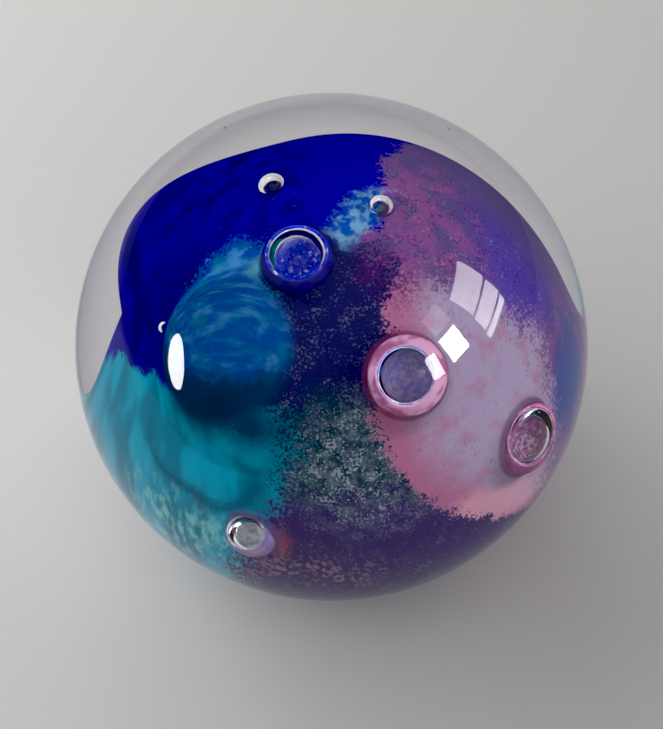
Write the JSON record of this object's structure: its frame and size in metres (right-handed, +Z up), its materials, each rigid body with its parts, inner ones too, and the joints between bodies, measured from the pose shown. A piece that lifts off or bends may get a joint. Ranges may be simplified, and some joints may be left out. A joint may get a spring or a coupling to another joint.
{
  "type": "paperweight",
  "caption": "Round art-glass paperweight: a clear cased ball with a flat base over a domed core in cobalt, turquoise, rose and plum, with trapped air bubbles",
  "frame": {"origin": "centre of the flat base, on the surface that the paperweight stands on", "axes": "+Z up through the ball; -Y is the side that the rose and midnight border faces; +X is the viewer's right from that side"},
  "size_m": [0.075, 0.075, 0.0693],
  "materials": {
    "clear_glass": "polished",
    "core_glass": "polished",
    "cobalt_layer": "polished",
    "azure_layer": "polished",
    "turquoise_layer": "polished",
    "midnight_layer": "polished",
    "rose_layer": "polished",
    "indigo_skirt": "polished",
    "plum_layer": "polished",
    "violet_layer": "polished",
    "aqua_chip": "polished",
    "trapped_air": "polished"
  },
  "bodies": {
    "root": {"clear_casing": "clear_glass", "core_gather": "core_glass", "cobalt_layer": "cobalt_layer", "azure_layer": "azure_layer", "turquoise_layer": "turquoise_layer", "midnight_layer": "midnight_layer", "rose_layer": "rose_layer", "indigo_skirt": "indigo_skirt", "plum_layer": "plum_layer", "violet_layer": "violet_layer", "aqua_chip": "aqua_chip", "bubble_shoulder_large": "trapped_air", "bubble_rose": "trapped_air", "bubble_dome": "trapped_air", "bubble_side": "trapped_air", "bubble_front_low": "trapped_air", "bubble_back_small": "trapped_air", "bubble_top_small": "trapped_air"}
  },
  "joints": []
}
